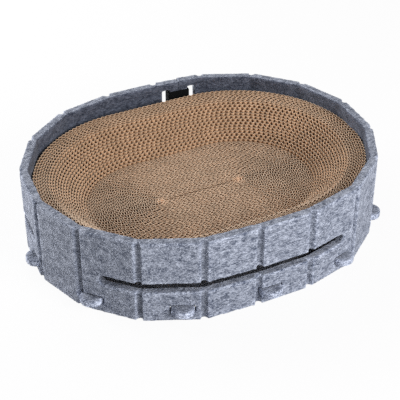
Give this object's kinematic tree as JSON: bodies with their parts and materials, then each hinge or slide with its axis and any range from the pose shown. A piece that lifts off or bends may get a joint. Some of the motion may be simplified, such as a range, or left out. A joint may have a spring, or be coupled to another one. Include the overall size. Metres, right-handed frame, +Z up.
{
  "type": "cat scratcher",
  "caption": "Oval felt cat bed: a grooved felt wall with paw slots around a dished scratch pad wound from corrugated board, on a tabbed felt base, closed by a strap.",
  "frame": {"origin": "on the floor under the middle of the oval bed", "axes": "+X along the bed's length, +Y from the front to the back seam's side, +Z up"},
  "size_m": [0.5202, 0.427, 0.12],
  "materials": {
    "felt": "thick pressed felt, mottled blue-grey fibres",
    "board": "raw brown corrugated board, cut edges showing its flutes",
    "strap": "black woven strap",
    "hook": "black hook tape",
    "loop": "black looped pile"
  },
  "bodies": {
    "bed": {"felt_wall": "felt", "base_plate": "felt", "closure_strap": "strap", "hook_patch": "hook"},
    "pad": {"scratch_strip_1": "board", "scratch_strip_2": "board", "scratch_strip_3": "board", "scratch_strip_4": "board", "scratch_strip_5": "board", "scratch_strip_6": "board", "scratch_strip_7": "board", "scratch_strip_8": "board"},
    "flap": {"strap_flap": "strap", "loop_patch": "loop"}
  },
  "joints": [
    {"name": "pad_lift", "type": "slide", "parent": "bed", "child": "pad", "axis": [0, 0, 1], "range_m": [0, 0.15]},
    {"name": "flap_peel", "type": "hinge", "parent": "bed", "child": "flap", "pos_m": [0.07352, 0.20289, 0.081], "axis": [0, 0, -1], "range_deg": [0, 170]}
  ]
}
